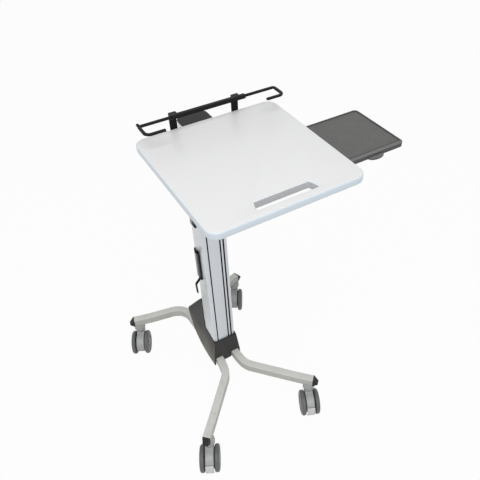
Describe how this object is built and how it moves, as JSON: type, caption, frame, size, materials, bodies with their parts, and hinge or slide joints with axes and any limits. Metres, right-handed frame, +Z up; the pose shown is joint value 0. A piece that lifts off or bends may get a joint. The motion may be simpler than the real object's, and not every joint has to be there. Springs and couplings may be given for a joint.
{
  "type": "laptop cart",
  "caption": "Rolling cart with a height-adjustable worksurface on a column, bent legs with twin-wheel casters, a pull-out side tray and a retaining bar.",
  "frame": {"origin": "on the floor, under the centre of the overall box", "axes": "+Z up, -Y towards the user's side with the handle slot, +X towards the side tray"},
  "size_m": [0.7052, 0.845, 1.3055],
  "materials": {
    "white_laminate": "white laminate, satin",
    "anodised_aluminium": "anodised, satin",
    "warm_grey_paint": "powder coat, satin",
    "dark_grey_plastic": "fine grain",
    "tray_plastic": "fine grain",
    "black_powder_coat": "powder coat",
    "grey_hood_plastic": "smooth",
    "grey_tread": "smooth tread",
    "light_grey_plastic": "smooth",
    "zinc_plate": "zinc plated",
    "white_acetal": "moulded",
    "spring_steel": "bright strip"
  },
  "bodies": {
    "base": {"base_frame": "black_powder_coat", "base_shroud": "dark_grey_plastic", "beam_cap": "dark_grey_plastic", "column": "anodised_aluminium", "column_bolt_left": "zinc_plate", "column_bolt_right": "zinc_plate", "column_front_panel": "anodised_aluminium", "column_top_cap": "dark_grey_plastic", "cord_plate_lower": "grey_hood_plastic", "cord_plate_upper": "grey_hood_plastic", "cord_wrap_lower": "black_powder_coat", "cord_wrap_upper": "black_powder_coat", "lift_spring_tape": "spring_steel", "leg_front_left": "warm_grey_paint", "leg_front_right": "warm_grey_paint", "leg_rear_left": "warm_grey_paint", "leg_rear_right": "warm_grey_paint", "leg_cap_front_left": "dark_grey_plastic", "leg_cap_front_right": "dark_grey_plastic", "leg_cap_rear_left": "dark_grey_plastic", "leg_cap_rear_right": "dark_grey_plastic"},
    "lift": {"worksurface": "white_laminate", "support_bracket": "warm_grey_paint", "surface_screw_rear_left": "zinc_plate", "surface_screw_rear_right": "zinc_plate", "surface_screw_front_left": "zinc_plate", "surface_screw_front_right": "zinc_plate", "lift_carriage": "zinc_plate", "glide_pad_lower_left": "white_acetal", "glide_pad_lower_right": "white_acetal", "glide_pad_upper_left": "white_acetal", "glide_pad_upper_right": "white_acetal", "spring_pin": "zinc_plate", "tray_rail_front": "zinc_plate", "tray_rail_rear": "zinc_plate", "retainer_sleeve": "black_powder_coat"},
    "spring_roll": {"lift_spring_roll": "spring_steel"},
    "tray": {"side_tray": "tray_plastic"},
    "hook_left": {"retainer_hook_left": "black_powder_coat"},
    "hook_right": {"retainer_hook_right": "black_powder_coat"},
    "caster_front_left": {"caster_body_front_left": "grey_hood_plastic", "axle_front_left": "zinc_plate"},
    "wheel_front_left_a": {"wheel_front_left_a": "grey_tread"},
    "wheel_front_left_b": {"wheel_front_left_b": "grey_tread"},
    "pedal_front_left": {"lock_pedal_front_left": "light_grey_plastic"},
    "caster_front_right": {"caster_body_front_right": "grey_hood_plastic", "axle_front_right": "zinc_plate"},
    "wheel_front_right_a": {"wheel_front_right_a": "grey_tread"},
    "wheel_front_right_b": {"wheel_front_right_b": "grey_tread"},
    "pedal_front_right": {"lock_pedal_front_right": "light_grey_plastic"},
    "caster_rear_left": {"caster_body_rear_left": "grey_hood_plastic", "axle_rear_left": "zinc_plate"},
    "wheel_rear_left_a": {"wheel_rear_left_a": "grey_tread"},
    "wheel_rear_left_b": {"wheel_rear_left_b": "grey_tread"},
    "caster_rear_right": {"caster_body_rear_right": "grey_hood_plastic", "axle_rear_right": "zinc_plate"},
    "wheel_rear_right_a": {"wheel_rear_right_a": "grey_tread"},
    "wheel_rear_right_b": {"wheel_rear_right_b": "grey_tread"}
  },
  "joints": [
    {"name": "worksurface_lift", "type": "slide", "parent": "base", "child": "lift", "axis": [0, 0, 1], "range_m": [-0.508, 0], "deforming": ["lift_spring_tape"]},
    {"name": "spring_roll_turn", "type": "hinge", "parent": "lift", "child": "spring_roll", "pos_m": [-0.04593, 0.05233, 1.15], "axis": [1, 0, 0], "range_deg": [0, 1665]},
    {"name": "tray_slide", "type": "slide", "parent": "lift", "child": "tray", "axis": [1, 0, 0], "range_m": [-0.185, 0]},
    {"name": "hook_slide_left", "type": "slide", "parent": "lift", "child": "hook_left", "axis": [1, 0, 0], "range_m": [-0.03, 0.03]},
    {"name": "hook_slide_right", "type": "slide", "parent": "lift", "child": "hook_right", "axis": [1, 0, 0], "range_m": [-0.03, 0.03]},
    {"name": "swivel_front_left", "type": "hinge", "parent": "base", "child": "caster_front_left", "pos_m": [-0.26903, -0.24707, 0.14], "axis": [0, 0, 1], "continuous": true},
    {"name": "wheel_turn_front_left_a", "type": "hinge", "parent": "caster_front_left", "child": "wheel_front_left_a", "pos_m": [-0.29938, -0.2686, 0.051], "axis": [0.8788, -0.4772, 0], "continuous": true},
    {"name": "wheel_turn_front_left_b", "type": "hinge", "parent": "caster_front_left", "child": "wheel_front_left_b", "pos_m": [-0.27056, -0.28425, 0.051], "axis": [0.8788, -0.4772, 0], "continuous": true},
    {"name": "pedal_press_front_left", "type": "hinge", "parent": "caster_front_left", "child": "pedal_front_left", "pos_m": [-0.30057, -0.30517, 0.07224], "axis": [0.8788, -0.4772, 0], "range_deg": [0, 7]},
    {"name": "swivel_front_right", "type": "hinge", "parent": "base", "child": "caster_front_right", "pos_m": [0.17717, -0.24707, 0.14], "axis": [0, 0, 1], "continuous": true},
    {"name": "wheel_turn_front_right_a", "type": "hinge", "parent": "caster_front_right", "child": "wheel_front_right_a", "pos_m": [0.1486, -0.27092, 0.051], "axis": [0.9135, -0.4067, 0], "continuous": true},
    {"name": "wheel_turn_front_right_b", "type": "hinge", "parent": "caster_front_right", "child": "wheel_front_right_b", "pos_m": [0.17857, -0.28426, 0.051], "axis": [0.9135, -0.4067, 0], "continuous": true},
    {"name": "pedal_press_front_right", "type": "hinge", "parent": "caster_front_right", "child": "pedal_front_right", "pos_m": [0.15028, -0.30747, 0.07224], "axis": [0.9135, -0.4067, 0], "range_deg": [0, 7]},
    {"name": "swivel_rear_left", "type": "hinge", "parent": "base", "child": "caster_rear_left", "pos_m": [-0.28313, 0.39113, 0.14], "axis": [0, 0, 1], "continuous": true},
    {"name": "wheel_turn_rear_left_a", "type": "hinge", "parent": "caster_rear_left", "child": "wheel_rear_left_a", "pos_m": [-0.31329, 0.36933, 0.051], "axis": [0.8829, -0.4695, 0], "continuous": true},
    {"name": "wheel_turn_rear_left_b", "type": "hinge", "parent": "caster_rear_left", "child": "wheel_rear_left_b", "pos_m": [-0.28433, 0.35393, 0.051], "axis": [0.8829, -0.4695, 0], "continuous": true},
    {"name": "swivel_rear_right", "type": "hinge", "parent": "base", "child": "caster_rear_right", "pos_m": [0.19127, 0.39113, 0.14], "axis": [0, 0, 1], "continuous": true},
    {"name": "wheel_turn_rear_right_a", "type": "hinge", "parent": "caster_rear_right", "child": "wheel_rear_right_a", "pos_m": [0.15966, 0.37149, 0.051], "axis": [0.848, -0.5299, 0], "continuous": true},
    {"name": "wheel_turn_rear_right_b", "type": "hinge", "parent": "caster_rear_right", "child": "wheel_rear_right_b", "pos_m": [0.18748, 0.35411, 0.051], "axis": [0.848, -0.5299, 0], "continuous": true}
  ],
  "couplings": [
    {"joint": "spring_roll_turn", "follows": "worksurface_lift", "rad_per_m": -57.143}
  ]
}
